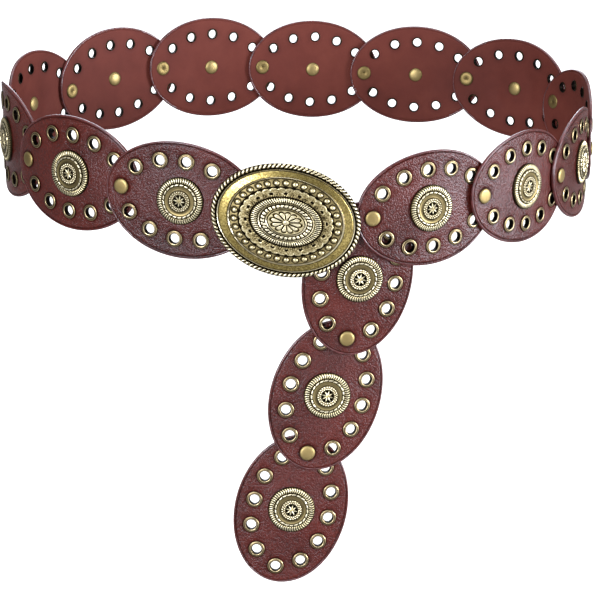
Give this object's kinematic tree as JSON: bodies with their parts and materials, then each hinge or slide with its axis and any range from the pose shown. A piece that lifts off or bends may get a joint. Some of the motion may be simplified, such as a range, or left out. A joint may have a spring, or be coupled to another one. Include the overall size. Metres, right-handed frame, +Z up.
{
  "type": "concho belt",
  "caption": "Worn loop of overlapping oval leather panels with cast round discs, flat link rivets, eyelet holes, an oval front buckle and a hanging tail.",
  "frame": {"origin": "middle of the waist that the belt goes round, at the mean height of the loop", "axes": "+X across the waist towards the wearer's left, +Z up, the front and the buckle at -Y"},
  "size_m": [0.3441, 0.2448, 0.2724],
  "materials": {
    "leather": "satin, fine grain",
    "antique_brass": "antiqued, dark in the hollows",
    "bright_brass": "pale satin"
  },
  "bodies": {
    "root": {"leather_panel_01": "leather", "leather_panel_02": "leather", "leather_panel_03": "leather", "leather_panel_04": "leather", "leather_panel_05": "leather", "leather_panel_06": "leather", "leather_panel_07": "leather", "leather_panel_08": "leather", "leather_panel_09": "leather", "leather_panel_10": "leather", "leather_panel_11": "leather", "leather_panel_12": "leather", "leather_panel_13": "leather", "leather_panel_14": "leather", "leather_panel_15": "leather", "leather_panel_16": "leather", "concho_01": "antique_brass", "concho_02": "antique_brass", "concho_03": "antique_brass", "concho_04": "antique_brass", "concho_05": "antique_brass", "concho_06": "antique_brass", "concho_07": "antique_brass", "concho_08": "antique_brass", "concho_09": "antique_brass", "concho_10": "antique_brass", "concho_11": "antique_brass", "concho_12": "antique_brass", "concho_13": "antique_brass", "concho_14": "antique_brass", "concho_15": "antique_brass", "concho_16": "antique_brass", "link_rivet_01": "bright_brass", "link_rivet_02": "bright_brass", "link_rivet_03": "bright_brass", "link_rivet_04": "bright_brass", "link_rivet_05": "bright_brass", "link_rivet_06": "bright_brass", "link_rivet_07": "bright_brass", "link_rivet_08": "bright_brass", "link_rivet_09": "bright_brass", "link_rivet_10": "bright_brass", "link_rivet_11": "bright_brass", "link_rivet_12": "bright_brass", "link_rivet_13": "bright_brass", "link_rivet_14": "bright_brass", "link_rivet_15": "bright_brass", "buckle": "antique_brass"}
  },
  "joints": []
}
